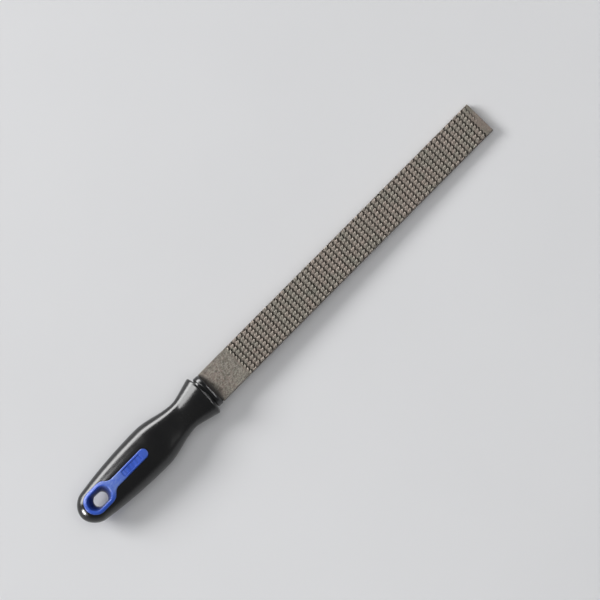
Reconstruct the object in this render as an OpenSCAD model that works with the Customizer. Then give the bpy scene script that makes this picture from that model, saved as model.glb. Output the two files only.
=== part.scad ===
// Flat wood rasp with a co-moulded handle.
// +X runs along the tool from the butt of the handle to the tip of the blade, and +Z is up
// from one cut face. The origin is the middle of the underside of the tool's box.
// The sub-parts are drawn on the tool's own axis, with x = 0 at the butt, and place() moves
// them from there.

/* [Blade] */
// Length of the blade from its shoulder to its tip
blade_l = 250; // [230:5:270]
// Width of the blade
blade_w = 24; // [22:0.5:24]
// Thickness of the blade between its plain faces
blade_t = 5.5; // [5:0.1:6.5]
// Plain length next to the handle
heel_l = 24; // [20:1:40]
// Least plain length at the tip
tip_l = 4; // [2:0.5:8]

/* [Teeth] */
// Distance from one row of teeth to the next
row_pitch = 4.02; // [3.6:0.01:6]
// Number of tooth spacings across the blade
teeth_across = 9; // [7:1:10]
// Height of a tooth above the plain faces
tooth_h = 0.5; // [0.2:0.05:0.9]
// Depth of the pits below the plain faces
pit_depth = 0.5; // [0.2:0.05:0.9]

/* [Tang] */
// Length of the tang
tang_l = 65; // [55:1:68]
// Width of the tang at the shoulder
tang_root_w = 10.5; // [9:0.5:11]
// Width of the tang at its end
tang_end_w = 4.5; // [3:0.5:6]
// Thickness of the tang at its end
tang_end_t = 3; // [2:0.5:5]

/* [Handle] */
// Length of the handle from its butt to the blade's shoulder
handle_l = 120; // [120:0.5:124]
// Widest part of the handle, at its belly
belly_w = 32.1; // [30:0.1:36]
// Distance of the belly from the butt
belly_x = 65; // [62:1:70]
// Width that the belly narrows to behind the butt's rounded end
butt_w = 24.5; // [23.5:0.1:27]
// Length of the butt's rounded end
butt_round_l = 10.5; // [9:0.5:13]
// Narrowest width, between the belly and the flare
neck_w = 22.2; // [22:0.1:26]
// Distance of the neck from the butt
neck_x = 95; // [92:1:98]
// Widening of the flare on each side for each millimetre of its length
flare_slope = 0.25; // [0.18:0.01:0.3]
// Thickness of the handle as a share of its width
flatness = 0.84; // [0.84:0.01:0.95]

/* [Nose] */
// Length from the flare's rim to the blade's shoulder
nose_l = 4.6; // [4.4:0.1:5]
// Width of the boss in front of the rim
boss_w = 24.8; // [24.6:0.1:26]
// Length of the boss's domed front past the shoulder
dome_l = 0.6; // [0.4:0.1:3]

/* [Hanging eye] */
// Distance from the butt to the centre of the eye's round rear end
eye_x = 14.1; // [13.5:0.1:15]
// Straight length of the eye's mouths
eye_straight_l = 6.9; // [4:0.1:7.5]
// Width of the eye's mouths
eye_mouth_w = 11.4; // [10:0.1:12]
// Straight length of the eye's waist, half way through
waist_straight_l = 2.4; // [2:0.1:4]
// Width of the eye's waist
waist_w = 8; // [7:0.1:9]
// Width of the wall beside the eye's mouths
eye_wall = 2.55; // [2:0.05:3]
// Straight length of the outside of the wall round the eye
ring_straight_l = 8; // [7.5:0.1:9]

/* [Core] */
// Width of the tongue that shows on both faces
tongue_w = 6.9; // [5:0.1:8]
// Distance from the butt to the tongue's rounded end
tongue_end_x = 62; // [59:0.1:65]
// Height of the core's faces above the grip's surface
proud = 0.4; // [0.2:0.1:0.6]
// Diameter of the spine that holds the tang
spine_d = 14; // [13.5:0.5:14.5]
// Diameter of the rings that key the spine into the grip
key_d = 16.4; // [15.5:0.1:16.6]
// Number of key rings along the spine
keys = 6; // [2:1:8]

/* [Hidden] */

overall_l = handle_l + blade_l;
shoulder_x = handle_l;
curve_fn = 96;
hull_fn = 32;
through_l = 60;

// Teeth: each row runs from a low line up to its crests, and down to the floor of its pits.
crest_share = 0.62;
floor_share = 0.84;
rows = floor((blade_l - heel_l - tip_l) / row_pitch);
tooth_pitch = blade_w / teeth_across;
row_repeat = 3;
cells = teeth_across + 1;
line_n = cells + 1;
row_n = 2 * line_n + cells;
plain_z = blade_t / 2;
floor_z = plain_z - pit_depth;
crest_z = plain_z + tooth_h;
teeth_x = shoulder_x + heel_l;
toothed_l = (rows - 1 + floor_share) * row_pitch;

// Handle outline: belly_r and the other radii are half widths.
belly_r = belly_w / 2;
butt_r = butt_w / 2;
neck_r = neck_w / 2;
boss_r = boss_w / 2;
butt_r_x = 13;
flare_blend = 2;
outline_steps = 40;
rim_round = 0.9;
rim_steps = 6;
rim_x = handle_l - nose_l;
rim_flat_x = rim_x - rim_round;
groove_l = 0.9;
groove_depth = 0.7;
boss_round = 1;
boss_round_end_a = 30;
dome_x = shoulder_x + dome_l;
dome_rim_x = shoulder_x + 0.1;
dome_rim_r = boss_r - boss_round;
dome_rise = dome_x - dome_rim_x;
dome_r = (pow(dome_rim_r, 2) + pow(dome_rise, 2)) / (2 * dome_rise);
dome_a = asin(dome_rim_r / dome_r);
dome_steps = 8;

// Core
eye_outer_r = eye_mouth_w / 2 + eye_wall;
ring_front_x = eye_x + ring_straight_l;
eye_spare = 2;
waist_slice = 0.01;
tongue_r = tongue_w / 2;
fillet_r = 6;
fillet_y = tongue_r + fillet_r;
fillet_x = ring_front_x + sqrt(pow(eye_outer_r + fillet_r, 2) - pow(fillet_y, 2));
spine_x = 48;
key_l = 2.6;
key_first_x = 66;
key_last_x = 111;
anchor_d = 7;
anchor_x = 39.5;
socket_spare = 2;
panel_x = 39.7;
panel_l = 16.6;
panel_w = 4;
panel_depth = 0.8;

// Half width of the handle at a distance x from the butt
function butt_share(x) = x < butt_round_l ? sqrt(1 - pow(1 - x / butt_round_l, 2)) : 1;
function rear_r(x) =
    belly_r - (belly_r - butt_r) * pow((belly_x - x) / (belly_x - butt_r_x), 2);
function waist_r(x) =
    neck_r + (belly_r - neck_r) * (1 + cos(180 * (x - belly_x) / (neck_x - belly_x))) / 2;
function flare_r(x) =
    neck_r + flare_slope * (norm([x - neck_x, flare_blend]) - flare_blend);
function handle_r(x) =
    x < belly_x ? rear_r(x) * butt_share(x) : x < neck_x ? waist_r(x) : flare_r(x);

// Height of the tool's axis: the underside of the tongue's end is the lowest point.
axis_z = (handle_r(tongue_end_x) + proud) * flatness;

// Distances along the outline, closer together at the round butt
function outline_x(i) = rim_flat_x * (1 - cos(90 * i / outline_steps));

// Points [distance, radius] along an arc
function arc(x, r, radius, a0, a1, steps) =
    [for (i = [0 : steps])
        let (a = a0 + (a1 - a0) * i / steps)
        [x + radius * cos(a), r + radius * sin(a)]];

// Points from the butt to the flare's rim, grown outwards by a margin
function body_points(margin) =
    [for (i = [1 : outline_steps])
        [outline_x(i), handle_r(outline_x(i)) + margin]];

// Points from the flare's rim, down into the groove, and over the boss to the domed front
rim_points = arc(rim_flat_x, flare_r(rim_flat_x) - rim_round, rim_round, 90, 0, rim_steps);
groove_points = [
    [rim_x, boss_r - groove_depth],
    [rim_x + groove_l, boss_r - groove_depth],
    [rim_x + groove_l + groove_depth, boss_r],
];
boss_points =
    arc(dome_rim_x - boss_round, dome_rim_r, boss_round, 90, boss_round_end_a, rim_steps);
dome_points = arc(dome_x - dome_r, 0, dome_r, dome_a, 0, dome_steps);

// Turns an outline from [distance, radius] points into a body of oval section
module oval_body(points) {
    scale([1, 1, flatness])
        rotate([0, 90, 0])
            for (start = [0 : 90 : 270])
                rotate_extrude(angle = 90, start = start, $fn = curve_fn)
                    polygon([for (p = points) [p[1], p[0]]]);
}

module grip_envelope() {
    oval_body(concat([[0, 0]], body_points(0), rim_points, groove_points, boss_points,
        dome_points));
}

// The rear of the handle's shape, grown so that the core's faces stand proud
module core_envelope() {
    oval_body(concat([[0, 0]], body_points(proud), [[rim_flat_x, 0]]));
}

// Outline with round ends, from the centre of its near end
module slot_outline(straight_l, w, fn = curve_fn) {
    circle(d = w, $fn = fn);
    translate([straight_l, 0])
        circle(d = w, $fn = fn);
    translate([0, -w / 2])
        square([straight_l, w]);
}

// Bar of rectangular section that tapers in width and thickness from x = 0 to x = l
module tapered_bar(l, w0, w1, t0, t1) {
    intersection() {
        linear_extrude(2 * t0, center = true)
            polygon([[0, -w0 / 2], [l, -w1 / 2], [l, w1 / 2], [0, w0 / 2]]);
        rotate([90, 0, 0])
            linear_extrude(2 * w0, center = true)
                polygon([[0, -t0 / 2], [l, -t1 / 2], [l, t1 / 2], [0, t0 / 2]]);
    }
}

// Rounded concave corner between the eye's wall and one side of the tongue
module tongue_fillet() {
    wall_share = eye_outer_r / (eye_outer_r + fillet_r);
    difference() {
        polygon([
            [ring_front_x, 0],
            [ring_front_x + (fillet_x - ring_front_x) * wall_share, fillet_y * wall_share],
            [fillet_x, tongue_r],
            [fillet_x, 0],
        ]);
        translate([fillet_x, fillet_y])
            circle(r = fillet_r, $fn = curve_fn);
    }
}

module core_outline() {
    translate([eye_x, 0])
        slot_outline(ring_straight_l, 2 * eye_outer_r);
    translate([ring_front_x, 0])
        slot_outline(tongue_end_x - tongue_r - ring_front_x, tongue_w);
    tongue_fillet();
    mirror([0, 1])
        tongue_fillet();
}

// The eye and the tongue as a plate through the handle, which the grip grows round
module core_plate() {
    difference() {
        linear_extrude(through_l, center = true)
            core_outline();
        translate([anchor_x, 0, 0])
            rotate([90, 0, 0])
                cylinder(d = anchor_d, h = through_l, center = true, $fn = curve_fn);
    }
}

module spine() {
    translate([spine_x + spine_d / 2, 0, 0])
        sphere(d = spine_d, $fn = curve_fn);
    translate([spine_x + spine_d / 2, 0, 0])
        rotate([0, 90, 0])
            cylinder(d = spine_d, h = shoulder_x - spine_x - spine_d / 2, $fn = curve_fn);
    for (i = [0 : keys - 1])
        translate([key_first_x + (key_last_x - key_first_x) * i / (keys - 1), 0, 0])
            rotate([0, 90, 0])
                cylinder(d = key_d, h = key_l, center = true, $fn = curve_fn);
}

// One half of the hanging eye, from its waist to one mouth and on past the surface
module eye_half() {
    mouth_z = handle_r(ring_front_x) * flatness;
    hull() {
        translate([eye_x + (eye_straight_l - waist_straight_l) / 2, 0, -waist_slice])
            linear_extrude(waist_slice)
                slot_outline(waist_straight_l, waist_w, hull_fn);
        translate([eye_x, 0, mouth_z])
            linear_extrude(eye_spare)
                slot_outline(eye_straight_l, eye_mouth_w, hull_fn);
    }
}

// The socket that the tang is driven into
module socket(spare) {
    l = tang_l + spare;
    end_share = l / tang_l;
    translate([shoulder_x, 0, 0])
        rotate([0, 0, 180])
            tapered_bar(
                l,
                tang_root_w,
                tang_root_w + (tang_end_w - tang_root_w) * end_share,
                blade_t,
                blade_t + (tang_end_t - blade_t) * end_share
            );
}

// Panel sunk in one face of the tongue
module tongue_panel() {
    face_z = handle_r(panel_x + panel_l / 2) * flatness + proud;
    translate([panel_x, -panel_w / 2, face_z - panel_depth])
        cube([panel_l, panel_w, through_l]);
}

// Share of a tooth spacing by which a row is shifted across the blade
function row_shift(row) = (2 * (row % row_repeat) + 1) / (2 * row_repeat);

// Where a row's teeth meet each other across the blade
function tooth_edge(row, k) =
    (k == 0 ? 0 : k == cells ? teeth_across : k - row_shift(row)) * tooth_pitch - blade_w / 2;

// One row's points on one face: its low line, its crests and the floor of its pits
function row_points(row, side) = concat(
    [for (k = [0 : cells])
        [row * row_pitch, tooth_edge(row, k), side * (row == 0 ? plain_z : floor_z)]],
    [for (k = [0 : cells - 1])
        [(row + crest_share) * row_pitch,
            (tooth_edge(row, k) + tooth_edge(row, k + 1)) / 2, side * crest_z]],
    [for (k = [0 : cells])
        [(row + floor_share) * row_pitch, tooth_edge(row, k), side * floor_z]]
);

// Triangles of one row on the upper face, as offsets from the row's first point
row_faces = [
    for (k = [0 : cells - 1])
        let (low = k, crest = line_n + k, end = line_n + cells + k)
        each [
            [low, low + 1, crest],
            [low, crest, end],
            [low + 1, end + 1, crest],
            [crest, end + 1, end],
        ]
];

// Triangles of the pit floor between a row and the next
gap_faces = [
    for (k = [0 : cells - 1])
        let (end = line_n + cells + k, next = row_n + k)
        each [[end, end + 1, next], [end + 1, next + 1, next]]
];

function shifted(faces, by) = [for (f = faces) [for (i = f) i + by]];
function flipped(faces) = [for (f = faces) [f[0], f[2], f[1]]];

// Closes the space between two lines of points, one on each face
function wall(upper, lower) = [
    for (i = [0 : len(upper) - 2])
        each [
            [upper[i], lower[i], upper[i + 1]],
            [upper[i + 1], lower[i], lower[i + 1]],
        ]
];

// The toothed length of the blade, cut alike on both faces, from x = 0
module toothed_bar() {
    face_n = rows * row_n;
    upper_faces = concat(
        [for (row = [0 : rows - 1]) each shifted(row_faces, row * row_n)],
        [for (row = [0 : rows - 2]) each shifted(gap_faces, row * row_n)]
    );
    first_line = [for (k = [0 : cells]) k];
    last_line = [for (k = [0 : cells]) face_n - line_n + k];
    right_side = [for (row = [0 : rows - 1]) each [row * row_n, (row + 1) * row_n - line_n]];
    left_side = [for (i = right_side) i + cells];
    both = [
        [first_line, false],
        [last_line, true],
        [right_side, true],
        [left_side, false],
    ];
    side_faces = [
        for (line = both)
            let (lower = [for (i = line[0]) i + face_n])
            let (faces = wall(line[0], lower))
            each (line[1] ? flipped(faces) : faces)
    ];
    polyhedron(
        points = concat(
            [for (row = [0 : rows - 1]) each row_points(row, 1)],
            [for (row = [0 : rows - 1]) each row_points(row, -1)]
        ),
        faces = concat(upper_faces, shifted(flipped(upper_faces), face_n), side_faces)
    );
}

// Moves a sub-part from the tool's axis into the tool's own frame
module place() {
    translate([-overall_l / 2, 0, axis_z])
        children();
}

module rasp_blade() {
    color("dimgray")
        place() {
            translate([shoulder_x, -blade_w / 2, -plain_z])
                cube([heel_l, blade_w, blade_t]);
            translate([teeth_x, 0, 0])
                toothed_bar();
            translate([teeth_x + toothed_l, -blade_w / 2, -plain_z])
                cube([blade_l - heel_l - toothed_l, blade_w, blade_t]);
            socket(0);
        }
}

module handle_core() {
    color("royalblue")
        place()
            difference() {
                union() {
                    intersection() {
                        core_plate();
                        core_envelope();
                    }
                    spine();
                }
                eye_half();
                mirror([0, 0, 1])
                    eye_half();
                socket(socket_spare);
                tongue_panel();
                mirror([0, 0, 1])
                    tongue_panel();
            }
}

module rubber_grip() {
    color([0.08, 0.08, 0.09])
        place()
            difference() {
                grip_envelope();
                core_plate();
                spine();
                translate([shoulder_x, -blade_w / 2, -plain_z])
                    cube([heel_l, blade_w, blade_t]);
            }
}

rasp_blade();
handle_core();
rubber_grip();
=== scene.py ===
"""Looks of the flat wood rasp: a punched steel blade in a blue core with a black grip.

Lengths in the mesh code are millimetres in the tool's own frame, with x measured from the butt
of the handle. to_frame() turns them into the CAD frame's metres.
"""

import math

import bpy
import numpy as np
from mathutils import Matrix, Vector
from mathutils.geometry import delaunay_2d_cdt


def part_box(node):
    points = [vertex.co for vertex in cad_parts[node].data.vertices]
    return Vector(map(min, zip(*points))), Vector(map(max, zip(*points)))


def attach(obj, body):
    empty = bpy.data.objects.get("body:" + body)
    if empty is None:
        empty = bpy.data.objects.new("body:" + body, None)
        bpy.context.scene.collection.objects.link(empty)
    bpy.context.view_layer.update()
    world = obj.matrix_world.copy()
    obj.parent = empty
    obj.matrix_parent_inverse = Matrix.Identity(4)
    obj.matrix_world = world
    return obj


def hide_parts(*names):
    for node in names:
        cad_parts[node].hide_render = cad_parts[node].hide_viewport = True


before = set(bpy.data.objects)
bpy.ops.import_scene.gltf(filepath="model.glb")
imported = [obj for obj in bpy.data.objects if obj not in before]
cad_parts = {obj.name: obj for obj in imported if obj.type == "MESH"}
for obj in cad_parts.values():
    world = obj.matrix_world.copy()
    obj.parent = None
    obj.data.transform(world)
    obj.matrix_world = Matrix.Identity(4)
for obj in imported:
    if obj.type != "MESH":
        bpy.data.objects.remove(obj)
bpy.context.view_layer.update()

MM = 0.001

# ---------------------------------------------------------------- sizes, in millimetres

blade_low, blade_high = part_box("rasp_blade")
grip_low, grip_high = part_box("rubber_grip")
core_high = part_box("handle_core")[1]

BUTT_X = grip_low.x / MM
AXIS_Z = (blade_low.z + blade_high.z) / 2 / MM
BLADE_W = (blade_high.y - blade_low.y) / MM
TIP_X = blade_high.x / MM - BUTT_X
TANG_END_X = blade_low.x / MM - BUTT_X
SHOULDER_X = core_high.x / MM - BUTT_X
NOSE_X = grip_high.x / MM - BUTT_X

# Blade
BLADE_T = 5.5
HEEL_L = 24.0
ROW_PITCH = 4.02
ROWS = 55
LAST_ROW = 0.75  # length of the faint row after the last, as a share of a row
LAST_ROW_HEIGHT = 0.6  # its height, as a share of a full row's
LAST_ROW_FADE = 8.0  # width over which it fades in
TEETH_ACROSS = 9
ROW_SHIFT = -0.29  # sideways step from one row to the next, in teeth
TOOTH_H = 0.5
PIT_DEPTH = 0.85
SLANT = 0.36  # lean of the crests across one tooth, as a share of a row
EDGE_ROUND = 0.35
BOSS_SHADOW_L = 5.4  # reach of the painted shadow of the boss in front of the handle
TANG_ROOT_W = 10.5
TANG_END_W = 4.5
TANG_END_T = 3.0

# Handle
BELLY_X = 65.0
BELLY_R = 16.05
BUTT_R = 12.25
BUTT_R_X = 13.0  # where the width is BUTT_R on each side
BUTT_ROUND_L = 10.5
NECK_X = 95.0
NECK_R = 11.1
FLARE_SLOPE = 0.25
FLARE_BLEND = 2.0
FLATNESS = 0.84  # thickness as a share of the width
SQUARENESS = 2.2  # power of the section's outline, which is 2 for an oval
RIM_X = 115.4
RIM_ROUND = 1.3
BOSS_R = 12.4
BOSS_X = SHOULDER_X + 0.3
BOSS_ROUND_SIDE = 2.2
BOSS_ROUND_TOP = 2.8
SLOT_GAP = 0.08  # room between the blade and the grip
GROOVE_L = 1.5
GROOVE_DEPTH = 0.9
GROOVE_ROUND = 0.4
BOSS_REAR_ROUND = 0.5
NOSE_BOW = 1.6  # how far the rim's sides lie behind its middle
BOW_START_X = 98.0  # where the bow starts

# Core
EYE_X = 14.1
EYE_STRAIGHT = 6.9
EYE_W = 11.4
EYE_WALL = 2.55
EYE_LIP = 1.0
EYE_SHADE_L = 3.5  # depth over which the painted shade on the eye's wall deepens
RING_STRAIGHT = 8.0
WAIST_STRAIGHT = 2.4
WAIST_W = 8.0
TONGUE_W = 6.9
TONGUE_END_X = 62.0
FILLET_R = 6.0
PROUD = 0.4  # height of the core's faces above the grip
CORE_ROUND = 0.75
PANEL_X0 = 39.7
PANEL_X1 = 56.3
PANEL_W = 4.0
PANEL_DEPTH = 0.8
RIBS = 5
RIB_H = 0.35
SHEEN_X0 = 24.0  # start and end of the stretch with painted sheen
SHEEN_X1 = 44.0
SPINE_X = 48.0
SPINE_R = 7.0
KEY_R = 8.2
KEY_L = 2.6
KEYS = 6
KEY_FIRST_X = 66.0
KEY_LAST_X = 111.0

# Brightness of the studio's horizon and ceiling
HORIZON = 0.55
CEILING = 0.22

# Distances, in metres, over which the floor takes on the horizon's brightness
FADE_START = 0.6
FADE_END = 2.4


# ---------------------------------------------------------------- mesh helpers

def to_frame(points):
    """Points in millimetres from the butt, on the tool's axis, as metres in the CAD frame."""
    return (np.asarray(points, float) + (BUTT_X, 0.0, AXIS_Z)) * MM


def new_object(name, points, faces, smooth_angle=40.0):
    """A new object from points in millimetres, shaded smooth between its sharp edges."""
    mesh = bpy.data.meshes.new(name)
    mesh.from_pydata(to_frame(points).tolist(), [], [tuple(int(i) for i in f) for f in faces])
    mesh.validate()
    mesh.update()
    finish_shading(mesh, smooth_angle)
    obj = bpy.data.objects.new(name, mesh)
    bpy.context.scene.collection.objects.link(obj)
    return obj


def finish_shading(mesh, smooth_angle):
    """Smooth shading between edges that are sharper than an angle in degrees."""
    mesh.polygons.foreach_set("use_smooth", [True] * len(mesh.polygons))
    mesh.set_sharp_from_angle(angle=math.radians(smooth_angle))


def mesh_points(mesh):
    """A mesh's points in the CAD frame, in metres."""
    points = np.empty(len(mesh.vertices) * 3)
    mesh.vertices.foreach_get("co", points)
    return points.reshape(-1, 3)


def smooth(t):
    """Eases from 0 to 1 as t goes from 0 to 1."""
    t = np.clip(t, 0, 1)
    return t * t * (3 - 2 * t)


def ring_faces(rings, size, first=0):
    """Quads between closed rings of equal size, one after another."""
    faces = []
    for r in range(rings - 1):
        a, b = first + r * size, first + (r + 1) * size
        for i in range(size):
            j = (i + 1) % size
            faces.append((a + i, a + j, b + j, b + i))
    return faces


def boolean(obj, cutter, operation):
    """Applies one boolean with a throw-away cutter."""
    mod = obj.modifiers.new("cut", "BOOLEAN")
    mod.operation = operation
    mod.solver = "MANIFOLD"
    mod.object = cutter
    bpy.context.view_layer.update()
    made = bpy.data.meshes.new_from_object(
        obj.evaluated_get(bpy.context.evaluated_depsgraph_get())
    )
    obj.modifiers.clear()
    old = obj.data
    obj.data = made
    made.name = old.name
    bpy.data.meshes.remove(old)
    bpy.data.objects.remove(cutter)


# ---------------------------------------------------------------- handle shape

# Points round the grip's section
GRIP_COLUMNS = 144


def handle_r(x):
    """Half width of the handle at x, as far as its flared rim."""
    cap = np.sqrt(np.clip(1 - (1 - np.clip(x / BUTT_ROUND_L, 0, 1)) ** 2, 0, 1))
    rear = (BELLY_R - (BELLY_R - BUTT_R) * ((BELLY_X - x) / (BELLY_X - BUTT_R_X)) ** 2) * cap
    turn = np.clip((x - BELLY_X) / (NECK_X - BELLY_X), 0, 1)
    waist = NECK_R + (BELLY_R - NECK_R) * (1 + np.cos(np.pi * turn)) / 2
    flare = NECK_R + FLARE_SLOPE * (np.hypot(x - NECK_X, FLARE_BLEND) - FLARE_BLEND)
    return np.where(x < BELLY_X, rear, np.where(x < NECK_X, waist, flare))


def crown(x, y):
    """Height of the handle's surface above its axis at (x, y)."""
    r = handle_r(x)
    return FLATNESS * r * np.clip(1 - np.abs(y / r) ** SQUARENESS, 0, 1) ** (1 / SQUARENESS)


def arc(x, r, radius, a0, a1, steps):
    """Points (x, radius) along an arc, between two angles in degrees."""
    a = np.radians(np.linspace(a0, a1, steps + 1))
    return np.stack([x + radius * np.cos(a), r + radius * np.sin(a)], 1)


def handle_profile():
    """Points (x, radius) from the butt, over the rim and through the groove to the boss."""
    butt = BUTT_ROUND_L * (1 - np.cos(np.linspace(0.06, np.pi / 2, 26)))
    body = np.arange(BUTT_ROUND_L + 0.8, RIM_X - RIM_ROUND - 0.3, 0.8)
    xs = np.concatenate([butt, body])
    points = [np.stack([xs, handle_r(xs)], 1)]
    rim_r = float(handle_r(np.array(RIM_X - RIM_ROUND)))
    points.append(arc(RIM_X - RIM_ROUND, rim_r - RIM_ROUND, RIM_ROUND, 90, 0, 7))
    floor_r = BOSS_R - GROOVE_DEPTH
    points.append(
        arc(RIM_X + GROOVE_ROUND, floor_r + GROOVE_ROUND, GROOVE_ROUND, 180, 270, 4)
    )
    groove_end = RIM_X + GROOVE_L
    points.append(np.array([[groove_end - GROOVE_ROUND / 2, floor_r]]))
    points.append(
        arc(groove_end + BOSS_REAR_ROUND, BOSS_R - BOSS_REAR_ROUND, BOSS_REAR_ROUND, 180, 90, 4)
    )
    return np.concatenate(points)


def section(size):
    """Unit coordinates (y, z) round the handle's section, starting on its +Y side."""
    a = np.linspace(0, 2 * np.pi, size, endpoint=False)
    c, s = np.cos(a), np.sin(a)
    power = 2 / SQUARENESS
    return np.sign(c) * np.abs(c) ** power, np.sign(s) * np.abs(s) ** power


def oval_ring(x, r, size):
    """One ring of the handle. Its sides lie behind its middle round the nose, which is bowed."""
    y, z = section(size)
    grow = smooth((x - BOW_START_X) / (RIM_X - BOW_START_X))
    fade = 1 - smooth((x - RIM_X - GROOVE_L) / (BOSS_X - RIM_X - GROOVE_L))
    return np.stack([x - NOSE_BOW * grow * fade * y**2, r * y, FLATNESS * r * z], 1)


def boss_ring(turn, size):
    """One ring of the boss's rounded front edge, whose radius is largest on its crown.
    turn goes from 0 on the boss's side to 1 on its front."""
    y, z = section(size)
    a = turn * np.pi / 2
    bend = BOSS_ROUND_SIDE + (BOSS_ROUND_TOP - BOSS_ROUND_SIDE) * z**2
    r = BOSS_R - bend * (1 - np.cos(a))
    return np.stack([BOSS_X - bend * (1 - np.sin(a)), r * y, FLATNESS * r * z], 1)


def grip_blank():
    """The outside of the whole handle as one closed skin."""
    size = GRIP_COLUMNS
    rings = [oval_ring(x, r, size) for x, r in handle_profile()]
    rings += [boss_ring(turn, size) for turn in np.linspace(0, 1, 12)]
    front = rings[-1] * (0, 1, 1)
    for share in np.linspace(0.9, 0.1, 9):
        rings.append(front * share + (BOSS_X + (NOSE_X - BOSS_X) * (1 - share**2), 0, 0))
    points = np.concatenate([*rings, [[0, 0, 0]], [[NOSE_X, 0, 0]]])
    faces = ring_faces(len(rings), size)
    butt, nose = len(points) - 2, len(points) - 1
    last = (len(rings) - 1) * size
    for i in range(size):
        j = (i + 1) % size
        faces.append((j, i, butt))
        faces.append((last + i, last + j, nose))
    return new_object("rubber_grip_skin", points, faces)


# ---------------------------------------------------------------- core shape

# Points round the eye, and spacing of the points on the core's face and on the panel's floor
EYE_POINTS = 72
FACE_GRID = 0.8
RIB_GRID = 0.17
# Depths of the eye's rings below its lip, as shares of the way to its waist
EYE_SHARES = (0.3, 0.6, 0.85, 0.95, 1.0)
# Depth and outward step of each ring down the panel's side
PANEL_RINGS = (
    (0.0, 0.12),
    (0.06, 0.03),
    (0.15, 0.0),
    (PANEL_DEPTH - 0.1, -0.03),
    (PANEL_DEPTH, -0.12),
)


def stadium(x0, straight, width, size):
    """Closed loop round a slot with round ends, anticlockwise, starting on its lower side."""
    r = width / 2
    half = size // 2
    a = np.radians(np.linspace(-90, 90, half))
    front = np.stack([x0 + straight + r * np.cos(a), r * np.sin(a)], 1)
    back = np.stack([x0 - r * np.cos(a), -r * np.sin(a)], 1)
    return np.concatenate([front, back])


def core_outline(step=0.45):
    """Closed loop round the eye's wall and the tongue, anticlockwise."""
    outer = EYE_W / 2 + EYE_WALL
    front = EYE_X + RING_STRAIGHT
    half_w = TONGUE_W / 2
    fy = half_w + FILLET_R
    fx = front + math.sqrt((outer + FILLET_R) ** 2 - fy**2)
    touch = math.degrees(math.atan2(fy, fx - front))
    end_x = TONGUE_END_X - half_w

    def bend(cx, cy, r, a0, a1):
        n = max(3, int(abs(math.radians(a1 - a0)) * r / step))
        a = np.radians(np.linspace(a0, a1, n, endpoint=False))
        return np.stack([cx + r * np.cos(a), cy + r * np.sin(a)], 1)

    def run(x0, x1, y):
        n = max(2, int(abs(x1 - x0) / step))
        return np.stack([np.linspace(x0, x1, n, endpoint=False), np.full(n, y)], 1)

    return np.concatenate([
        bend(end_x, 0, half_w, -90, 90),
        run(end_x, fx, half_w),
        bend(fx, fy, FILLET_R, 270, 180 + touch),
        bend(front, 0, outer, touch, 90),
        run(front, EYE_X, outer),
        bend(EYE_X, 0, outer, 90, 270),
        run(EYE_X, front, -outer),
        bend(front, 0, outer, 270, 360 - touch),
        bend(fx, -fy, FILLET_R, 180 - touch, 90),
        run(fx, end_x, -half_w),
    ])


def inset(loop, distance):
    """Moves a closed anticlockwise loop inwards."""
    along = np.roll(loop, -1, 0) - np.roll(loop, 1, 0)
    along /= np.linalg.norm(along, axis=1)[:, None]
    return loop + distance * np.stack([-along[:, 1], along[:, 0]], 1)


def rounded_rect(x0, x1, width, corner, steps=4):
    """Closed anticlockwise loop, with its sides divided evenly."""
    corners = [
        (x1 - corner, width / 2 - corner, 0),
        (x0 + corner, width / 2 - corner, 90),
        (x0 + corner, -width / 2 + corner, 180),
        (x1 - corner, -width / 2 + corner, 270),
    ]
    loop = []
    for cx, cy, a0 in corners:
        for a in np.radians(np.linspace(a0, a0 + 90, steps + 1)):
            loop.append((cx + corner * math.cos(a), cy + corner * math.sin(a)))
    loop = np.array(loop)
    dense = []
    for a, b in zip(loop, np.roll(loop, -1, 0)):
        n = max(1, int(np.linalg.norm(b - a) / 0.5))
        dense += [a + (b - a) * i / n for i in range(n)]
    return np.array(dense)


def inside(points, loop):
    """Which points lie inside a closed loop."""
    x, y = points[:, 0][:, None], points[:, 1][:, None]
    x1, y1 = loop[:, 0], loop[:, 1]
    x2, y2 = np.roll(x1, -1), np.roll(y1, -1)
    with np.errstate(divide="ignore", invalid="ignore"):
        hit = ((y1 > y) != (y2 > y)) & (x < (x2 - x1) * (y - y1) / (y2 - y1) + x1)
    return hit.sum(1) % 2 == 1


def fill(loops, spacing):
    """Triangles between an outer loop and the holes in it: (all points, triangles).
    The loops' points come first, in order, and loose points on an even grid come after them."""
    outer, holes = loops[0], loops[1:]
    lo, hi = outer.min(0), outer.max(0)
    gx, gy = np.meshgrid(np.arange(lo[0], hi[0], spacing), np.arange(lo[1], hi[1], spacing))
    gx[1::2] += spacing / 2
    grid = np.stack([gx.ravel(), gy.ravel()], 1)
    keep = inside(grid, inset(outer, spacing * 0.45))
    for hole in holes:
        keep &= ~inside(grid, inset(hole, -spacing * 0.45))
    fixed = np.concatenate(loops)
    points = np.concatenate([fixed, grid[keep]])
    edges, start = [], 0
    for loop in loops:
        n = len(loop)
        edges += [(start + i, start + (i + 1) % n) for i in range(n)]
        start += n
    out = delaunay_2d_cdt([Vector(p) for p in points], edges, [], 0, 1e-6)
    new_points = np.array([tuple(p) for p in out[0]])
    tris = np.array([f for f in out[2]])
    centre = new_points[tris].mean(1)
    good = inside(centre, outer)
    for hole in holes:
        good &= ~inside(centre, hole)
    back = np.array([o[0] for o in out[3]])
    return points, back[tris[good]]


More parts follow.
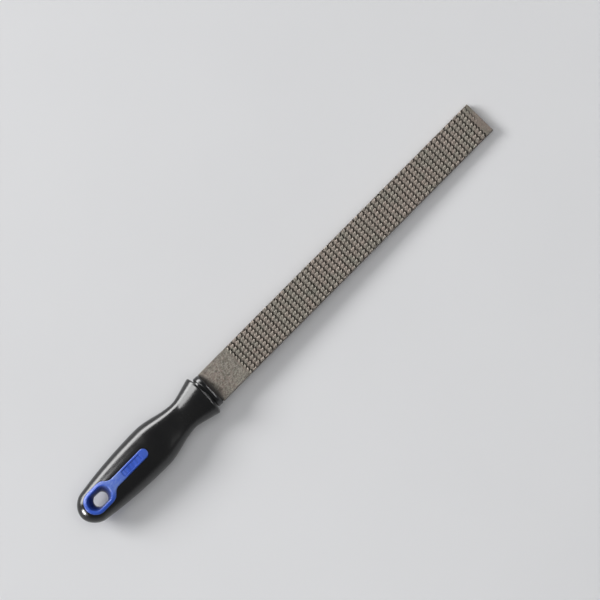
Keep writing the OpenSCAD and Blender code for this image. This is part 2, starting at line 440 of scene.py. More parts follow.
class Shell:
    """Collects the points and faces of a skin's upper half, and mirrors them down."""

    def __init__(self):
        self.points, self.faces = [], []

    def add(self, points):
        """Adds points and returns their indices."""
        first = len(self.points)
        self.points += [tuple(p) for p in points]
        return np.arange(first, len(self.points))

    def loft(self, rings):
        """Adds rings with quads from each to the next, and returns the rings' indices."""
        indices = [self.add(ring) for ring in rings]
        for a, b in zip(indices, indices[1:]):
            for i in range(len(a)):
                j = (i + 1) % len(a)
                self.faces.append((a[i], a[j], b[j], b[i]))
        return indices

    def cover(self, fixed, loose, tris):
        """Adds triangles between points that are there already and loose ones after them."""
        index = np.concatenate([fixed, self.add(loose)])
        self.faces += [tuple(index[t]) for t in tris]

    def mirrored(self, shared):
        """Points and faces of the whole skin. The shared points lie on the middle plane."""
        upper = np.array(self.points)
        lower_index = np.arange(len(upper)) + len(upper)
        lower_index[shared] = shared
        points = np.concatenate([upper, upper * (1, 1, -1)])
        faces = self.faces + [tuple(lower_index[list(f)][::-1]) for f in self.faces]
        used = sorted({i for f in faces for i in f})
        remap = {old: new for new, old in enumerate(used)}
        return points[used], [tuple(remap[i] for i in f) for f in faces]


def core_top(xy):
    """Height of the core's upper face above the tool's axis."""
    return crown(xy[:, 0], xy[:, 1]) + PROUD


def on_top(xy, drop=0.0):
    """Flat points laid on the core's upper face and sunk by drop."""
    return np.column_stack([xy, core_top(xy) - drop])


def panel_ribs(xy):
    """Height of the even ribs across the panel's floor."""
    turn = 2 * np.pi * RIBS * (xy[:, 0] - PANEL_X0) / (PANEL_X1 - PANEL_X0)
    return RIB_H * (1 - np.cos(turn)) / 2


def core_plate():
    """The eye and the tongue: one closed skin with the eye through it."""
    shell = Shell()
    angles = np.radians(np.linspace(0, 90, 6))

    rim = core_outline()
    side_rings = [np.column_stack([rim, np.zeros(len(rim))])]
    for a in angles:
        loop = inset(rim, CORE_ROUND * (1 - math.cos(a)))
        side_rings.append(on_top(loop, CORE_ROUND * (1 - math.sin(a))))
    side = shell.loft(side_rings)

    mouth = stadium(EYE_X, EYE_STRAIGHT, EYE_W, EYE_POINTS)
    waist_x = EYE_X + (EYE_STRAIGHT - WAIST_STRAIGHT) / 2
    waist = stadium(waist_x, WAIST_STRAIGHT, WAIST_W, EYE_POINTS)
    lips = [inset(mouth, -EYE_LIP * (1 - math.cos(a))) for a in angles[::-1]]
    eye_rings = [on_top(lip, EYE_LIP * (1 - math.sin(a))) for lip, a in zip(lips, angles[::-1])]
    top_z = core_top(mouth) - EYE_LIP
    for share in EYE_SHARES:
        loop = mouth + (waist - mouth) * math.sin(share * math.pi / 2)
        eye_rings.append(np.column_stack([loop, top_z * (1 - share)]))
    eye = shell.loft(eye_rings)

    panel = rounded_rect(PANEL_X0, PANEL_X1, PANEL_W, 0.5)
    panel_loops = [inset(panel, -step) for depth, step in PANEL_RINGS]
    sunk = shell.loft([
        on_top(loop, depth) for loop, (depth, step) in zip(panel_loops, PANEL_RINGS)
    ])

    points, tris = fill([inset(rim, CORE_ROUND), lips[0], panel_loops[0]], FACE_GRID)
    fixed = np.concatenate([side[-1], eye[0], sunk[0]])
    shell.cover(fixed, on_top(points[len(fixed):]), tris)

    points, tris = fill([panel_loops[-1]], RIB_GRID)
    loose = points[len(panel_loops[-1]):]
    shell.cover(sunk[-1], on_top(loose, PANEL_DEPTH - panel_ribs(loose)), tris)

    points, faces = shell.mirrored(np.concatenate([side[0], eye[-1]]))
    return new_object("handle_core_plate", points, faces)


def mark_eye_shade(mesh):
    """Attribute "depth", for painted shade on the eye's wall: 0 at the eye's lip and 1 deep inside
    the eye.
    """
    points = mesh_points(mesh) / MM - (BUTT_X, 0.0, AXIS_Z)
    mouth = stadium(EYE_X, EYE_STRAIGHT, EYE_W, EYE_POINTS)
    below = core_top(points[:, :2]) - EYE_LIP - np.abs(points[:, 2])
    depth = smooth(below / EYE_SHADE_L) * inside(points[:, :2], inset(mouth, -0.1))
    layer = mesh.attributes.new("depth", "FLOAT", "POINT")
    layer.data.foreach_set("value", depth.astype(np.float32))


def tube(name, profile, size=64):
    """A closed body of revolution round the tool's axis from (x, radius) points."""
    a = np.linspace(0, 2 * np.pi, size, endpoint=False)
    rings = [
        np.stack([np.full(size, x), r * np.cos(a), r * np.sin(a)], 1) for x, r in profile
    ]
    points = np.concatenate([*rings, [[profile[0][0], 0, 0]], [[profile[-1][0], 0, 0]]])
    faces = ring_faces(len(rings), size)
    start, end, last = len(points) - 2, len(points) - 1, (len(rings) - 1) * size
    for i in range(size):
        j = (i + 1) % size
        faces.append((j, i, start))
        faces.append((last + i, last + j, end))
    return new_object(name, points, faces)


def spine(name):
    """The spine with its key rings, from its round end to the shoulder."""
    profile = [
        (SPINE_X + SPINE_R * (1 - math.cos(a)), SPINE_R * math.sin(a))
        for a in np.linspace(0.15, math.pi / 2, 10)
    ]
    for i in range(KEYS):
        x = KEY_FIRST_X + (KEY_LAST_X - KEY_FIRST_X) * i / (KEYS - 1)
        profile += [
            (x - KEY_L / 2, SPINE_R),
            (x - KEY_L / 2 + 0.2, KEY_R),
            (x + KEY_L / 2 - 0.2, KEY_R),
            (x + KEY_L / 2, SPINE_R),
        ]
    profile.append((SHOULDER_X, SPINE_R))
    return tube(name, profile)


def box_solid(name, low, high):
    """A square-edged cutter between two corners."""
    x, y, z = zip(low, high)
    points = [(x[i], y[j], z[k]) for i in (0, 1) for j in (0, 1) for k in (0, 1)]
    faces = [(0, 1, 3, 2), (4, 6, 7, 5), (0, 4, 5, 1), (2, 3, 7, 6), (0, 2, 6, 4), (1, 5, 7, 3)]
    return new_object(name, points, faces)


def socket_solid(name):
    """The tapered hole for the tang, with a little room round it."""
    room = 0.05
    ends = ((TANG_END_X - 2, TANG_END_W, TANG_END_T), (SHOULDER_X + 1, TANG_ROOT_W, BLADE_T))
    points = [
        (x, j * (w / 2 + room), k * (t / 2 + room))
        for x, w, t in ends for j, k in ((-1, -1), (1, -1), (1, 1), (-1, 1))
    ]
    faces = [(0, 1, 2, 3), (4, 7, 6, 5), (0, 4, 5, 1), (1, 5, 6, 2), (2, 6, 7, 3), (3, 7, 4, 0)]
    return new_object(name, points, faces)


def prism(name, loop, z):
    """An upright solid on a closed loop, from -z to z."""
    n = len(loop)
    points = np.concatenate([
        np.column_stack([loop, np.full(n, -z)]),
        np.column_stack([loop, np.full(n, z)]),
    ])
    faces = ring_faces(2, n) + [tuple(range(n))[::-1], tuple(range(n, 2 * n))]
    return new_object(name, points, faces)


# ---------------------------------------------------------------- blade shape

# Points across and along the blade
COLUMNS_PER_TOOTH = 10
TOP_COLUMNS = TEETH_ACROSS * COLUMNS_PER_TOOTH + 1
BACK_STEPS = 9
FRONT_STEPS = 2
STEPS_PER_ROW = 15
TANG_STATIONS = 22
HEEL_STATIONS = 48
TIP_STATIONS = 6

# Places along a row, as shares of its pitch
FIRST_SHIFT = 0.2
CREST_PLACE = 0.60
CREST_SWEEP = 0.10  # how far a crest's ends lie behind its middle
FRONT_L = 0.12
FRONT_BULGE = 0.03  # further reach of the front at its middle
LINE_SLANT = 0.55 * SLANT  # lean of the line between two rows

# A tooth's back: shares of its length and of its rise
BACK_LENGTH = (0, 0.11, 0.22, 0.33, 0.55, 0.78, 0.9, 1)
BACK_RISE = (0, 0.36, 0.62, 0.67, 0.62, 0.80, 0.95, 1)

# Depth of the line between rows, and the part of a pit's depth left between two pits
LINE_DEPTH = 0.10
SADDLE = 0.35

# Spread of the teeth's heights and pits, and of their places along the row
SIZE_SPREAD = 0.10
PLACE_SPREAD = 0.018

# Values of the crest and pit attributes on the blade's edges and narrow sides: wear on the edges
# and painted shade on the narrow sides
EDGE_WEAR = 0.25
SIDE_SHADE = 0.55

TOOTH_X = HEEL_L + SHOULDER_X
COLUMN_Y = np.linspace(-BLADE_W / 2, BLADE_W / 2, TOP_COLUMNS)


def tooth_columns(row, side):
    """Each column's y in one row, its place on its tooth from -0.5 to 0.5, and its tooth."""
    offset = (row * ROW_SHIFT * side + FIRST_SHIFT) % 1.0 * COLUMNS_PER_TOOTH
    whole, part = int(offset), offset - int(offset)
    y = COLUMN_Y + part * (COLUMN_Y[1] - COLUMN_Y[0])
    y[0], y[-1] = -BLADE_W / 2, BLADE_W / 2
    place = np.arange(TOP_COLUMNS) - whole
    tooth = np.floor_divide(place + COLUMNS_PER_TOOTH // 2, COLUMNS_PER_TOOTH)
    eta = (place - tooth * COLUMNS_PER_TOOTH) / COLUMNS_PER_TOOTH
    return y, eta, tooth - tooth.min()


def back_wear_and_highlight(t, across, lean, row):
    """Brightening on the teeth's backs: wear with a painted highlight at their crests, and a
    painted highlight on the shoulders behind them.
    """
    crest = smooth((t - 0.7) / 0.3) * np.clip(1.1 - 1.3 * across, 0, 1)
    shoulder = np.clip(1 - ((lean + 0.2) / 0.32) ** 2, 0, 1) * (row > 0)
    return crest + 0.9 * shoulder * math.exp(-((t - 0.22) / 0.12) ** 2)


def tooth_rows(side, rng):
    """The toothed length of one face: x, y, z, crest, pit and painted-shadow arrays of (station,
    column).
    A row runs from a low line up the teeth's backs to their crests, then down their steep fronts
    and out of the pits."""
    stations = []
    for row in range(ROWS + 1):
        size, fading = 1.0, 1.0
        if row == ROWS:
            size = LAST_ROW
            reach = (COLUMN_Y * side + LAST_ROW_FADE / 2) / LAST_ROW_FADE
            fading = LAST_ROW_HEIGHT * smooth(reach)
        y, eta, tooth = tooth_columns(row, side)
        count = tooth.max() + 1
        high = (1 + SIZE_SPREAD * rng.standard_normal(count))[tooth] * fading
        deep = (1 + SIZE_SPREAD * rng.standard_normal(count))[tooth] * fading
        slip = (PLACE_SPREAD * rng.standard_normal(count))[tooth]
        across = np.abs(2 * eta)
        lean = side * eta
        none = np.zeros_like(y)
        crest_x = CREST_PLACE + SLANT * lean - CREST_SWEEP * across**2 + slip
        crest_z = TOOTH_H * high * (1 - 0.95 * across**2.2)
        pit_x = crest_x + FRONT_L + FRONT_BULGE * (1 - across)
        pit_z = -PIT_DEPTH * deep * (SADDLE + (1 - SADDLE) * (1 - across**2))
        far_x = 1.0 + LINE_SLANT * lean
        low_z = (-LINE_DEPTH - LINE_DEPTH * across**2) * fading
        start_x = LINE_SLANT * lean * (row > 0)
        for i in range(STEPS_PER_ROW):
            if i <= BACK_STEPS:
                t = i / BACK_STEPS
                x = start_x + (crest_x - start_x) * t
                if row:
                    rise = float(np.interp(t, BACK_LENGTH, BACK_RISE))
                    z = low_z + (crest_z - low_z) * rise
                else:
                    z = crest_z * smooth((t - 0.5) / 0.5)
                crest = back_wear_and_highlight(t, across, lean, row)
                # Painted shade along the line between rows
                pit = 0.35 * (1 - smooth(t / 0.2)) * (row > 0) * np.ones_like(x)
            elif i <= BACK_STEPS + FRONT_STEPS:
                t = (i - BACK_STEPS) / FRONT_STEPS
                x = crest_x + (pit_x - crest_x) * t
                z = crest_z + (pit_z - crest_z) * t**1.3
                crest = none
                # Oil and painted shade down the tooth's front and in its pit
                pit = np.full_like(x, 0.5 + 0.5 * t)
            else:
                before = BACK_STEPS + FRONT_STEPS
                t = (i - before) / (STEPS_PER_ROW - before)
                x = pit_x + (far_x - pit_x) * t
                z = pit_z + (low_z - pit_z) * smooth(t)
                crest = none
                pit = np.full_like(x, 1.0 - 0.7 * t**2)
            frame_x = TOOTH_X + (row + x * size) * ROW_PITCH
            stations.append((frame_x, y, BLADE_T / 2 + z, crest * fading, pit * fading, none))
    return [np.array(v) for v in zip(*stations)]


def plain_rows(stations):
    """Plain stations (x, width, thickness) of one face, as arrays like those of tooth_rows."""
    x, width, thickness = np.array(stations, float).T
    share = COLUMN_Y / (BLADE_W / 2)
    xs = np.repeat(x[:, None], TOP_COLUMNS, 1)
    ys = width[:, None] / 2 * share
    zs = np.repeat(thickness[:, None] / 2, TOP_COLUMNS, 1)
    # Painted shadow of the boss on the heel, reaching furthest in the middle where the boss stands
    # highest
    reach = BOSS_SHADOW_L * np.clip(1 - share**2, 0, 1) ** 0.5
    boss_shadow = 1 - smooth((xs - SHOULDER_X) / np.maximum(reach, 0.01)[None, :])
    return [xs, ys, zs, np.zeros_like(xs), np.zeros_like(xs), boss_shadow]


def blade_face(side, seed):
    """One face of the whole blade: tang, shoulder, heel, teeth and tip."""
    tang_x = np.linspace(TANG_END_X + 0.8, SHOULDER_X - 1.2, TANG_STATIONS)
    share = (SHOULDER_X - tang_x) / (SHOULDER_X - TANG_END_X)
    tang_w = TANG_ROOT_W + (TANG_END_W - TANG_ROOT_W) * share
    tang_t = BLADE_T + (TANG_END_T - BLADE_T) * share
    toothed_end = TOOTH_X + (ROWS + LAST_ROW) * ROW_PITCH
    heel_x = np.linspace(SHOULDER_X + 0.5, TOOTH_X - 0.4, HEEL_STATIONS)
    tip_x = np.linspace(toothed_end + 0.3, TIP_X - 0.35, TIP_STATIONS)
    rear = [
        (TANG_END_X, TANG_END_W - 1.2, TANG_END_T - 1.2),
        (TANG_END_X + 0.3, TANG_END_W - 0.4, TANG_END_T - 0.4),
        *zip(tang_x, tang_w, tang_t),
        (SHOULDER_X - 0.5, TANG_ROOT_W + 0.3, BLADE_T),
        (SHOULDER_X - 0.05, TANG_ROOT_W + 1.2, BLADE_T),
        (SHOULDER_X, BLADE_W - 0.6, BLADE_T),
        (SHOULDER_X + 0.15, BLADE_W, BLADE_T),
        *((x, BLADE_W, BLADE_T) for x in heel_x),
    ]
    front = [
        *((x, BLADE_W, BLADE_T) for x in tip_x),
        (TIP_X - 0.1, BLADE_W - 0.1, BLADE_T - 0.1),
        (TIP_X, BLADE_W - 0.5, BLADE_T - 0.5),
    ]
    rng = np.random.default_rng(seed)
    parts = [plain_rows(rear), tooth_rows(side, rng), plain_rows(front)]
    return [np.concatenate(v) for v in zip(*parts)]


def blade_body():
    """The whole blade as one closed skin of rings. A ring's points run across the upper face,
    down one narrow side, back across the lower face and up the other side."""
    upper, lower = blade_face(1, 11), blade_face(-1, 12)
    stations = len(upper[0])
    n = TOP_COLUMNS
    size = 2 * n + 4
    points = np.zeros((stations, size, 3))
    crest, pit, boss_shadow = (np.zeros((stations, size)) for _ in range(3))
    for half, first, flip in ((upper, 0, 1), (lower, n + 2, -1)):
        x, y, z, c, p, s = half if flip > 0 else (v[:, ::-1] for v in half)
        points[:, first:first + n] = np.stack([x, y, flip * z], 2)
        crest[:, first:first + n] = c
        pit[:, first:first + n] = p
        boss_shadow[:, first:first + n] = s
        for column in (first, first + n - 1):
            edge = points[:, column]
            cut = np.clip(np.abs(edge[:, 2]) - 0.8, 0, EDGE_ROUND)
            edge[:, 2] = flip * (np.minimum(np.abs(edge[:, 2]), BLADE_T / 2) - cut)
            crest[:, column] = EDGE_WEAR
    middle_x = (upper[0][:, [0, -1]] + lower[0][:, [0, -1]]) / 2
    for column, near, far, share, end in (
        (n, n - 1, n + 2, 0.3, 1),
        (n + 1, n - 1, n + 2, 0.7, 1),
        (2 * n + 2, 2 * n + 1, 0, 0.3, 0),
        (2 * n + 3, 2 * n + 1, 0, 0.7, 0),
    ):
        points[:, column] = points[:, near] + (points[:, far] - points[:, near]) * share
        points[:, column, 0] = middle_x[:, end]
        # Painted shade on the narrow sides
        pit[:, column] = SIDE_SHADE
    flat = np.concatenate([points.reshape(-1, 3), [[TANG_END_X, 0, 0]], [[TIP_X, 0, 0]]])
    faces = ring_faces(stations, size)
    last = (stations - 1) * size
    for i in range(size):
        j = (i + 1) % size
        faces.append((j, i, len(flat) - 2))
        faces.append((last + i, last + j, len(flat) - 1))
    obj = new_object("rasp_blade_steel", flat, faces, smooth_angle=50)
    for name, values in (("crest", crest), ("pit", pit), ("boss_shadow", boss_shadow)):
        layer = obj.data.attributes.new(name, "FLOAT", "POINT")
        values = np.concatenate([values.ravel(), [0.0, 0.0]])
        layer.data.foreach_set("value", values.astype(np.float32))
    return obj


# ---------------------------------------------------------------- materials

class Nodes:
    """Small helper to write a node material."""

    def __init__(self, name):
        self.material = bpy.data.materials.new(name)
        self.material.use_nodes = True
        self.tree = self.material.node_tree
        self.shader = self.tree.nodes["Principled BSDF"]
        self.object_space = self.new("ShaderNodeTexCoord").outputs["Object"]

    def new(self, kind, **settings):
        node = self.tree.nodes.new(kind)
        for key, value in settings.items():
            setattr(node, key, value)
        return node

    def link(self, source, target):
        self.tree.links.new(source, target)

    def along(self):
        """Distance along the tool, in metres from the frame's origin."""
        split = self.new("ShaderNodeSeparateXYZ")
        self.link(self.object_space, split.inputs[0])
        return split.outputs["X"]

    def noise(self, scale, detail=4.0, roughness=0.55, stretch=(1, 1, 1)):
        """Noise from 0 to 1 in the object's own space."""
        mapping = self.new("ShaderNodeMapping")
        mapping.inputs["Scale"].default_value = stretch
        self.link(self.object_space, mapping.inputs["Vector"])
        node = self.new("ShaderNodeTexNoise")
        node.inputs["Scale"].default_value = scale
        node.inputs["Detail"].default_value = detail
        node.inputs["Roughness"].default_value = roughness
        self.link(mapping.outputs["Vector"], node.inputs["Vector"])
        return node.outputs["Fac"]

    def ramp(self, source, stops):
        """A colour that follows a value through stops of (place, colour)."""
        node = self.new("ShaderNodeValToRGB")
        elements = node.color_ramp.elements
        while len(elements) < len(stops):
            elements.new(0.5)
        for element, (place, color) in zip(elements, stops):
            element.position = place
            element.color = (*color, 1) if len(color) == 3 else color
        self.link(source, node.inputs["Fac"])
        return node.outputs["Color"]

    def grey(self, source, low, high, start=0.0, end=1.0):
        """A value from low to high as source goes from start to end."""
        node = self.new("ShaderNodeMapRange")
        node.inputs["From Min"].default_value = start
        node.inputs["From Max"].default_value = end
        node.inputs["To Min"].default_value = low
        node.inputs["To Max"].default_value = high
        self.link(source, node.inputs["Value"])
        return node.outputs["Result"]

    def mix(self, share, a, b):
        """Goes from a to b by a share. Each is an output or a constant."""
        node = self.new("ShaderNodeMix", data_type="RGBA")
        for socket, value in ((node.inputs[0], share), (node.inputs[6], a), (node.inputs[7], b)):
            if hasattr(value, "is_linked"):
                self.link(value, socket)
            elif isinstance(value, tuple):
                socket.default_value = (*value, 1)
            else:
                socket.default_value = value
        return node.outputs[2]

    def math(self, operation, a, b, clamp=False):
        """Joins two outputs or constants by an operation such as ADD."""
        node = self.new("ShaderNodeMath", operation=operation, use_clamp=clamp)
        for socket, value in zip(node.inputs, (a, b)):
            if hasattr(value, "is_linked"):
                self.link(value, socket)
            else:
                socket.default_value = value
        return node.outputs[0]

    def attribute(self, name):
        """The mesh's own value of that name at each point."""
        return self.new("ShaderNodeAttribute", attribute_name=name).outputs["Fac"]

    def bump(self, height, distance, strength, before=None):
        """The normal of a relief laid over the one before it."""
        node = self.new("ShaderNodeBump")
        node.inputs["Distance"].default_value = distance
        node.inputs["Strength"].default_value = strength
        self.link(height, node.inputs["Height"])
        if before is not None:
            self.link(before, node.inputs["Normal"])
        return node.outputs["Normal"]

    def color(self, source):
        self.link(source, self.shader.inputs["Base Color"])

    def roughness(self, source):
        self.link(source, self.shader.inputs["Roughness"])

    def normal(self, source):
        self.link(source, self.shader.inputs["Normal"])


def steel_material():
    """Oiled steel: cloudy and grainy, worn and with painted highlights at the crests, dark in the
    pits with oil and painted shade, with painted shade on the row lines and narrow sides, and a
    painted shadow of the boss in front of the handle.
    """
    m = Nodes("hardened_steel")
    m.shader.inputs["Metallic"].default_value = 0.38
    cloud = m.noise(90.0, 6.0, 0.7)
    base = m.ramp(cloud, [
        (0.32, (0.122, 0.122, 0.094)),
        (0.44, (0.168, 0.149, 0.120)),
        (0.55, (0.205, 0.155, 0.130)),
        (0.68, (0.148, 0.138, 0.108)),
    ])
    heel_end = (BUTT_X + TOOTH_X) * MM
    plain = m.grey(m.along(), 1.0, 0.45, heel_end - MM, heel_end + MM)
    mottle = m.grey(m.noise(430.0, 5.0, 0.8), 0.0, 1.0, 0.42, 0.62)
    base = m.mix(m.math("MULTIPLY", mottle, plain), base, (0.085, 0.075, 0.062))
    grain = m.noise(1300.0, 4.0, 0.8, (0.7, 1, 1))
    bright = m.grey(grain, 0.0, 1.0, 0.44, 0.64)
    base = m.mix(m.math("MULTIPLY", bright, plain), base, (0.36, 0.33, 0.285))
    crest = m.attribute("crest")
    pit = m.attribute("pit")
    boss_shadow = m.attribute("boss_shadow")
    fine = m.noise(900.0, 3.0, 0.6)
    wear_and_sheen = m.math("MULTIPLY", crest, m.grey(fine, 0.65, 1.0, 0.3, 0.65), True)
    # Wear and painted highlights on the crests and on the shoulders behind them
    base = m.mix(wear_and_sheen, base, (0.25, 0.23, 0.195))
    # Oil and painted shade in the pits, painted shade along the row lines and on the narrow sides
    base = m.mix(m.math("MULTIPLY", pit, 0.76, True), base, (0.030, 0.025, 0.020))
    # Painted shadow of the boss on the blade in front of the handle
    base = m.mix(m.math("MULTIPLY", boss_shadow, 0.93, True), base, (0.020, 0.018, 0.017))
    m.color(base)
    rough = m.grey(grain, 0.48, 0.64, 0.3, 0.7)
    rough = m.math("SUBTRACT", rough, m.math("MULTIPLY", wear_and_sheen, 0.06))
    rough = m.math("ADD", rough, m.math("MULTIPLY", pit, 0.25), True)
    m.roughness(rough)
    normal = m.bump(grain, 0.00005, 0.6)
    normal = m.bump(m.noise(420.0, 4.0, 0.6), 0.00008, 0.25, normal)
    m.normal(normal)
    return m.material


def rubber_material():
    """Black rubber with a fine grain and faint scuffs along the tool."""
    m = Nodes("black_grip_rubber")
    cloud = m.noise(60.0, 5.0, 0.6)
    fine = m.noise(1800.0, 3.0, 0.6)
    scuff_and_sheen = m.noise(300.0, 5.0, 0.75, (0.25, 2.0, 1.0))
    base = m.ramp(cloud, [(0.3, (0.0030, 0.0030, 0.0034)), (0.7, (0.0055, 0.0053, 0.0052))])
    mark = m.grey(scuff_and_sheen, 0.0, 1.0, 0.66, 0.80)
    base = m.mix(m.math("MULTIPLY", mark, 0.35, True), base, (0.040, 0.038, 0.036))
    m.color(base)
    rough = m.grey(cloud, 0.16, 0.24, 0.3, 0.7)
    rough = m.math("ADD", rough, m.grey(fine, -0.03, 0.05, 0.3, 0.7))
    rough = m.math("ADD", rough, m.math("MULTIPLY", mark, 0.12), True)
    m.roughness(rough)
    normal = m.bump(fine, 0.00003, 0.30)
    normal = m.bump(m.noise(5200.0, 2.0, 0.5), 0.00002, 0.25, normal)
    m.normal(normal)
    return m.material


def plastic_material():
    """Blue plastic with flow marks, specks, a painted sheen on the tongue mottled like scuffs, and
    painted shade deep in the eye.
    """
    m = Nodes("blue_core_plastic")
    flow = m.noise(110.0, 5.0, 0.6, (0.5, 1.4, 1.0))
    fine = m.noise(2200.0, 3.0, 0.6)
    speck = m.noise(1500.0, 4.0, 0.7)
    base = m.ramp(flow, [
        (0.3, (0.020, 0.078, 0.470)),
        (0.55, (0.028, 0.098, 0.550)),
        (0.75, (0.040, 0.122, 0.620)),
    ])
    mark = m.grey(speck, 0.0, 1.0, 0.66, 0.76)
    base = m.mix(m.math("MULTIPLY", mark, 0.35, True), base, (0.20, 0.30, 0.72))
    # A painted sheen along part of the tongue, mottled by noise like scuffs
    start = (BUTT_X + SHEEN_X0) * MM
    end = (BUTT_X + SHEEN_X1) * MM
    near = m.grey(m.along(), 0.0, 1.0, start, start + 5 * MM)
    far = m.grey(m.along(), 1.0, 0.0, end - 9 * MM, end)
    scuff_and_sheen = m.noise(700.0, 5.0, 0.75, (0.5, 1.2, 1.0))
    wear_and_sheen = m.math("MULTIPLY", near, m.math("MULTIPLY", far, m.grey(scuff_and_sheen, 0.15, 0.8, 0.36, 0.62)))
    base = m.mix(wear_and_sheen, base, (0.17, 0.26, 0.60))
    depth = m.attribute("depth")
    # Painted shade deep in the eye
    base = m.mix(m.math("MULTIPLY", depth, 0.85, True), base, (0.004, 0.010, 0.085))
    m.color(base)
    rough = m.grey(flow, 0.26, 0.38, 0.3, 0.7)
    m.roughness(m.math("ADD", rough, m.grey(fine, -0.03, 0.05, 0.3, 0.7), True))
    m.normal(m.bump(fine, 0.00004, 0.35))
    return m.material


def floor_material():
    """Pale, and lit by the lamps near the tool. Further off it has the horizon's own tone."""
    m = Nodes("pale_floor")
    cloud = m.noise(3.0, 4.0, 0.5)
    near = m.ramp(cloud, [(0.3, (0.74, 0.74, 0.75)), (0.7, (0.78, 0.78, 0.79))])
    m.shader.inputs["Roughness"].default_value = 0.8
    m.shader.inputs["Specular IOR Level"].default_value = 0.0
    reach = m.new("ShaderNodeVectorMath", operation="LENGTH")
    m.link(m.object_space, reach.inputs[0])
    m.color(m.mix(m.grey(reach.outputs["Value"], 0.0, 1.0, FADE_START, FADE_END), near, (0, 0, 0)))
    m.shader.inputs["Emission Color"].default_value = (0.96, 0.98, 1.0, 1)
    glow = m.grey(reach.outputs["Value"], 0.0, HORIZON, FADE_START, FADE_END)
    m.link(glow, m.shader.inputs["Emission Strength"])
    return m.material


# ---------------------------------------------------------------- pieces

def place_piece(obj, node, material):
    """Gives a piece its material and body, and hides the CAD node that it stands in for."""
    obj.data.materials.clear()
    obj.data.materials.append(material)
    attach(obj, "root")
    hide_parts(node)


core = core_plate()
boolean(core, spine("spine_tool"), "UNION")
boolean(core, socket_solid("socket_tool"), "DIFFERENCE")
finish_shading(core.data, 40)
mark_eye_shade(core.data)
place_piece(core, "handle_core", plastic_material())

grip = grip_blank()
boolean(grip, prism("window_tool", core_outline(), 30.0), "DIFFERENCE")
boolean(grip, spine("cavity_tool"), "DIFFERENCE")
slot_z = BLADE_T / 2 + SLOT_GAP
slot_low, slot_high = (SHOULDER_X, -BLADE_W, -slot_z), (NOSE_X + 5, BLADE_W, slot_z)
boolean(grip, box_solid("slot_tool", slot_low, slot_high), "DIFFERENCE")
finish_shading(grip.data, 40)
place_piece(grip, "rubber_grip", rubber_material())

blade = blade_body()
place_piece(blade, "rasp_blade", steel_material())


# ---------------------------------------------------------------- stage, camera and light

def rest_floor():
    """A wide pale plane that the tool rests on, at the handle's belly and the blade's tip."""
    rest_x = TONGUE_END_X
    low_x = TOOTH_X + (ROWS - 0.4) * ROW_PITCH
    low_z = (AXIS_Z - BLADE_T / 2 - TOOTH_H) * MM
    slope = math.atan2(low_z, (low_x - rest_x) * MM)
    start = np.array([(rest_x + BUTT_X) * MM, 0.0, 0.0])
    up = np.array([-math.sin(slope), 0.0, math.cos(slope)])
    lowest = min(((mesh_points(piece.data) - start) @ up).min() for piece in (core, grip, blade))
    start[2] += lowest - 0.02 * MM
    half = 150.0
    mesh = bpy.data.meshes.new("floor")
    corners = [(-half, -half, 0), (half, -half, 0), (half, half, 0), (-half, half, 0)]
    mesh.from_pydata(corners, [], [(0, 1, 2, 3)])
    floor = bpy.data.objects.new("floor", mesh)
    floor.location = start
    floor.rotation_euler = (0, -slope, 0)
    floor.data.materials.append(floor_material())
    bpy.context.scene.collection.objects.link(floor)


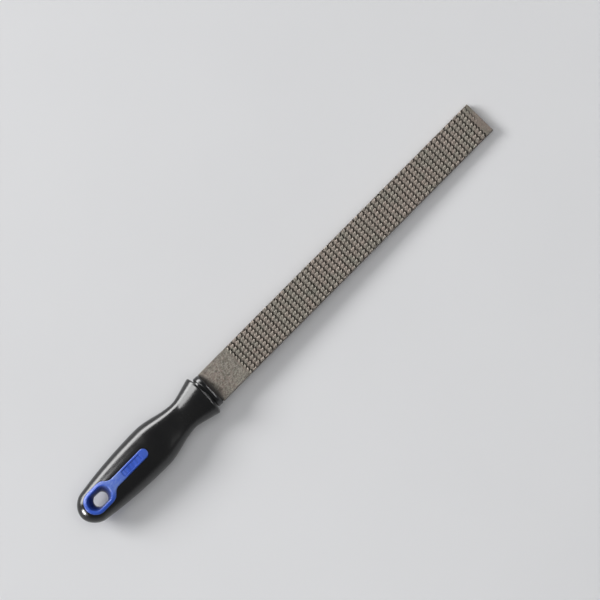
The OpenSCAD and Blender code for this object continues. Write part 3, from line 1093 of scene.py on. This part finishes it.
def camera():
    """Looks down on the tool, which crosses the frame from lower left to upper right."""
    distance = 3.9
    lean = math.radians(5.5)
    turn = math.radians(45.2)
    target = Vector((0.01704, -0.0007, AXIS_Z * MM))
    ahead = Vector((0, math.sin(lean), -math.cos(lean)))
    along = Vector((1, 0, 0))
    across = Vector((0, math.cos(lean), math.sin(lean)))
    right = math.cos(turn) * along - math.sin(turn) * across
    up = math.sin(turn) * along + math.cos(turn) * across
    cam = bpy.data.objects.new("camera", bpy.data.cameras.new("camera"))
    cam.matrix_world = Matrix((
        (right.x, up.x, -ahead.x, target.x - ahead.x * distance),
        (right.y, up.y, -ahead.y, target.y - ahead.y * distance),
        (right.z, up.z, -ahead.z, target.z - ahead.z * distance),
        (0, 0, 0, 1),
    ))
    view_w = 393 * MM
    cam.data.sensor_width = 36.0
    cam.data.lens = cam.data.sensor_width * distance / view_w
    bpy.context.scene.collection.objects.link(cam)
    bpy.context.scene.camera = cam


def softbox(name, place, size, radiance, in_diffuse=True, in_gloss=True):
    """A rectangular light that faces the tool, as bright as radiance in every direction."""
    light = bpy.data.lights.new(name, "AREA")
    light.shape = "RECTANGLE"
    light.size, light.size_y = size
    light.energy = radiance * math.pi * size[0] * size[1]
    obj = bpy.data.objects.new(name, light)
    obj.location = place
    obj.rotation_mode = "QUATERNION"
    obj.rotation_quaternion = (-Vector(place)).to_track_quat("-Z", "Y")
    obj.visible_camera = False
    obj.visible_diffuse = in_diffuse
    obj.visible_glossy = in_gloss
    bpy.context.scene.collection.objects.link(obj)


def studio_world():
    """A dim ceiling over a pale horizon."""
    world = bpy.data.worlds.new("studio")
    world.use_nodes = True
    tree = world.node_tree
    background = tree.nodes["Background"]
    background.inputs["Color"].default_value = (0.96, 0.98, 1.0, 1)
    direction = tree.nodes.new("ShaderNodeTexCoord")
    split = tree.nodes.new("ShaderNodeSeparateXYZ")
    fade = tree.nodes.new("ShaderNodeMapRange")
    fade.interpolation_type = "SMOOTHSTEP"
    fade.inputs["From Max"].default_value = 0.28
    fade.inputs["To Min"].default_value = HORIZON
    fade.inputs["To Max"].default_value = CEILING
    tree.links.new(direction.outputs["Generated"], split.inputs[0])
    tree.links.new(split.outputs["Z"], fade.inputs["Value"])
    tree.links.new(fade.outputs["Result"], background.inputs["Strength"])
    bpy.context.scene.world = world


def lights():
    """A key light and a fill, and three strips that only show as highlights."""
    bpy.context.scene.view_settings.view_transform = "Standard"
    studio_world()
    softbox("key", (-1.88, 2.68, 2.30), (1.8, 1.8), 11.0)
    softbox("fill", (0.2, -0.2, 4.8), (4.0, 4.0), 1.5, in_gloss=False)
    softbox("side", (-0.30, 2.2, 0.44), (3.8, 0.88), 13.0, in_diffuse=False)
    softbox("butt", (-3.0, 0.55, 0.45), (0.75, 0.55), 55.0, in_diffuse=False)
    softbox("nose", (2.1, -0.8, 1.50), (3.4, 0.30), 22.0, in_diffuse=False)


rest_floor()
camera()
lights()
